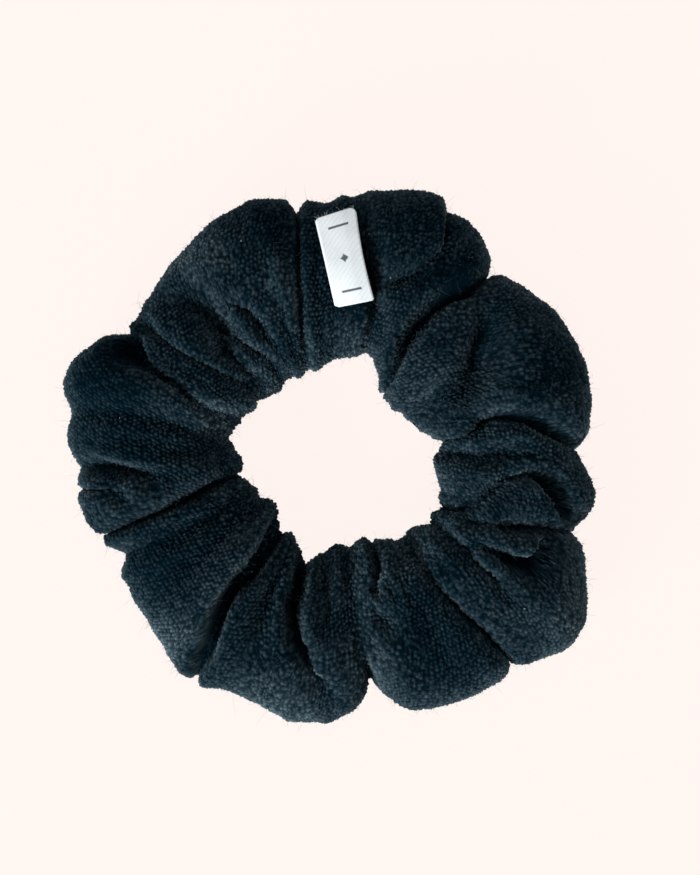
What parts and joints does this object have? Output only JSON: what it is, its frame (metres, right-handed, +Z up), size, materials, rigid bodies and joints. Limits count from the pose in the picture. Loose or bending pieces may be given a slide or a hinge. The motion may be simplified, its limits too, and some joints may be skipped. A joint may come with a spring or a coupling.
{
  "type": "scrunchie",
  "caption": "Gathered ring of soft dark looped knit over a hidden elastic loop, with a folded white ribbon label that can be lifted.",
  "frame": {"origin": "centre of the ring's outline on the surface that it lies on", "axes": "+Z up out of the surface, through the hole; +Y towards the label"},
  "size_m": [0.1134, 0.1144, 0.0268],
  "materials": {
    "looped_knit": "matte looped pile",
    "sewing_thread": "matte",
    "label_ribbon": "satin weave",
    "elastic_braid": "matte braid"
  },
  "bodies": {
    "sleeve": {"fabric_sleeve": "looped_knit", "long_seam_thread": "sewing_thread", "closing_seam_thread": "sewing_thread", "label_tail": "label_ribbon"},
    "elastic": {"elastic_loop": "elastic_braid", "elastic_join_stitches": "sewing_thread"},
    "label": {"label_flap": "label_ribbon"}
  },
  "joints": [
    {"name": "elastic_travel", "type": "hinge", "parent": "sleeve", "child": "elastic", "pos_m": [0, 0, 0.0125], "axis": [0, 0, 1], "continuous": true},
    {"name": "label_lift", "type": "hinge", "parent": "sleeve", "child": "label", "pos_m": [0.0073, 0.04325, 0.0248], "axis": [-0.1792, 0.9806, -0.0796], "range_deg": [0, 150]}
  ]
}
